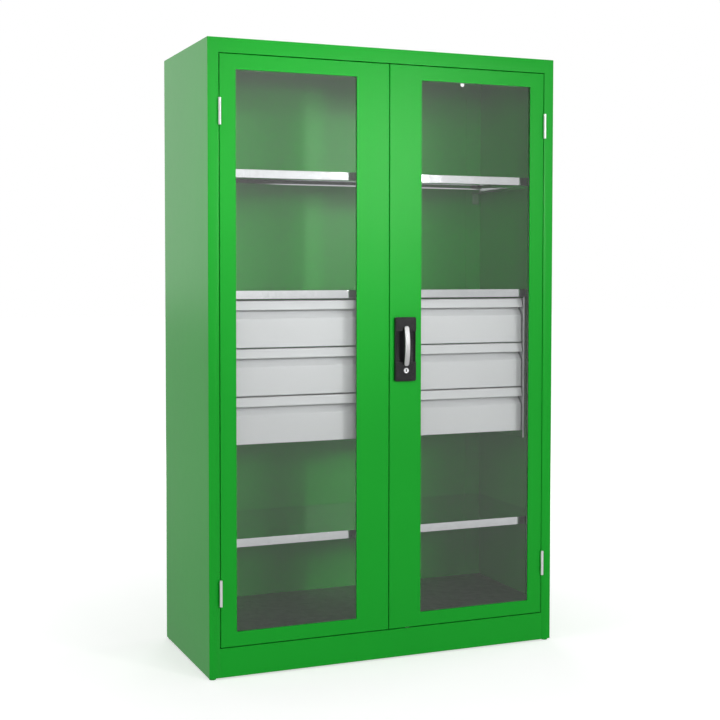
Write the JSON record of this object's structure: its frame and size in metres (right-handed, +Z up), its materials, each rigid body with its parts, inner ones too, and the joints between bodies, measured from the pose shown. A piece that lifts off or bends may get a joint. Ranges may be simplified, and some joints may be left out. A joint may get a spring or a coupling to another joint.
{
  "type": "heavy-duty cabinet",
  "caption": "Tall steel cabinet with two hinged window doors, a rod lock with a bowed handle, galvanised shelves and two banks of sliding drawers.",
  "frame": {"origin": "middle of the bounding box's footprint, on the floor", "axes": "+Z up, front of the cabinet faces -Y, +X to the viewer's right"},
  "size_m": [1.2, 0.5274, 1.95],
  "materials": {
    "green_paint": "smooth powder coat, half gloss",
    "galvanised_sheet": "bright galvanised sheet",
    "floor_zinc": "dull zinc coated sheet",
    "grey_paint": "light grey powder coat",
    "clear_pane": "clear acrylic sheet",
    "black_plastic": "fine grained black plastic",
    "handle_metal": "satin metal",
    "lock_plate": "bright nickel plate",
    "hinge_steel": "bright zinc plate",
    "plated_steel": "zinc plated steel"
  },
  "bodies": {
    "case": {"left_side_panel": "green_paint", "right_side_panel": "green_paint", "back_panel": "green_paint", "roof_panel": "green_paint", "front_header": "green_paint", "floor_panel": "floor_zinc", "plinth_panel": "green_paint", "levelling_feet": "green_paint", "foot_nuts": "plated_steel", "shelf_rails": "green_paint", "upper_shelf": "galvanised_sheet", "middle_shelf": "galvanised_sheet", "lower_shelf": "galvanised_sheet", "shelf_clips": "galvanised_sheet", "left_bank_plates": "galvanised_sheet", "right_bank_plates": "galvanised_sheet", "left_bank_runners": "galvanised_sheet", "right_bank_runners": "galvanised_sheet", "hinge_frame_leaves": "hinge_steel", "hinge_pins": "hinge_steel"},
    "left_door": {"left_door_panel": "green_paint", "left_window": "clear_pane", "left_window_retainer": "plated_steel", "left_window_fasteners": "plated_steel", "left_hinge_leaves": "hinge_steel", "left_ball_catches": "plated_steel"},
    "right_door": {"right_door_panel": "green_paint", "right_window": "clear_pane", "right_window_retainer": "plated_steel", "right_window_fasteners": "plated_steel", "right_hinge_leaves": "hinge_steel", "handle_escutcheon": "black_plastic", "lock_case": "plated_steel", "rod_guides": "plated_steel", "lock_cylinder": "lock_plate"},
    "handle": {"handle_bow": "handle_metal", "handle_spindle": "plated_steel"},
    "lock_plug": {"lock_plug": "lock_plate"},
    "upper_rod": {"upper_rod": "plated_steel"},
    "lower_rod": {"lower_rod": "plated_steel"},
    "left_top_drawer": {"left_top_drawer_front": "grey_paint", "left_top_drawer_tray": "grey_paint", "left_top_drawer_slides": "galvanised_sheet"},
    "left_middle_drawer": {"left_middle_drawer_front": "grey_paint", "left_middle_drawer_tray": "grey_paint", "left_middle_drawer_slides": "galvanised_sheet"},
    "left_bottom_drawer": {"left_bottom_drawer_front": "grey_paint", "left_bottom_drawer_tray": "grey_paint", "left_bottom_drawer_slides": "galvanised_sheet"},
    "right_top_drawer": {"right_top_drawer_front": "grey_paint", "right_top_drawer_tray": "grey_paint", "right_top_drawer_slides": "galvanised_sheet"},
    "right_middle_drawer": {"right_middle_drawer_front": "grey_paint", "right_middle_drawer_tray": "grey_paint", "right_middle_drawer_slides": "galvanised_sheet"},
    "right_bottom_drawer": {"right_bottom_drawer_front": "grey_paint", "right_bottom_drawer_tray": "grey_paint", "right_bottom_drawer_slides": "galvanised_sheet"}
  },
  "joints": [
    {"name": "left_door_hinge", "type": "hinge", "parent": "case", "child": "left_door", "pos_m": [-0.564, -0.24225, 1], "axis": [0, 0, -1], "range_deg": [0, 180]},
    {"name": "right_door_hinge", "type": "hinge", "parent": "case", "child": "right_door", "pos_m": [0.564, -0.24225, 1], "axis": [0, 0, 1], "range_deg": [0, 180]},
    {"name": "handle_turn", "type": "hinge", "parent": "right_door", "child": "handle", "pos_m": [0.053, -0.24825, 1.0645], "axis": [0, -1, 0], "range_deg": [0, 90]},
    {"name": "lock_turn", "type": "hinge", "parent": "right_door", "child": "lock_plug", "pos_m": [0.053, -0.24825, 0.9305], "axis": [0, -1, 0], "range_deg": [0, 90]},
    {"name": "upper_rod_slide", "type": "slide", "parent": "right_door", "child": "upper_rod", "axis": [0, 0, -1], "range_m": [0, 0.0189]},
    {"name": "lower_rod_slide", "type": "slide", "parent": "right_door", "child": "lower_rod", "axis": [0, 0, 1], "range_m": [0, 0.0189]},
    {"name": "left_top_drawer_slide", "type": "slide", "parent": "case", "child": "left_top_drawer", "axis": [0, -1, 0], "range_m": [0, 0.24]},
    {"name": "left_middle_drawer_slide", "type": "slide", "parent": "case", "child": "left_middle_drawer", "axis": [0, -1, 0], "range_m": [0, 0.24]},
    {"name": "left_bottom_drawer_slide", "type": "slide", "parent": "case", "child": "left_bottom_drawer", "axis": [0, -1, 0], "range_m": [0, 0.24]},
    {"name": "right_top_drawer_slide", "type": "slide", "parent": "case", "child": "right_top_drawer", "axis": [0, -1, 0], "range_m": [0, 0.24]},
    {"name": "right_middle_drawer_slide", "type": "slide", "parent": "case", "child": "right_middle_drawer", "axis": [0, -1, 0], "range_m": [0, 0.24]},
    {"name": "right_bottom_drawer_slide", "type": "slide", "parent": "case", "child": "right_bottom_drawer", "axis": [0, -1, 0], "range_m": [0, 0.24]}
  ],
  "couplings": [
    {"joint": "upper_rod_slide", "follows": "handle_turn", "m_per_rad": 0.011975},
    {"joint": "lower_rod_slide", "follows": "handle_turn", "m_per_rad": 0.011975},
    {"joint": "left_top_drawer_slide", "follows": "left_door_hinge", "m_per_rad": 0.07639},
    {"joint": "left_middle_drawer_slide", "follows": "left_door_hinge", "m_per_rad": 0.07639},
    {"joint": "left_bottom_drawer_slide", "follows": "left_door_hinge", "m_per_rad": 0.07639},
    {"joint": "right_top_drawer_slide", "follows": "right_door_hinge", "m_per_rad": 0.07639},
    {"joint": "right_middle_drawer_slide", "follows": "right_door_hinge", "m_per_rad": 0.07639},
    {"joint": "right_bottom_drawer_slide", "follows": "right_door_hinge", "m_per_rad": 0.07639}
  ]
}
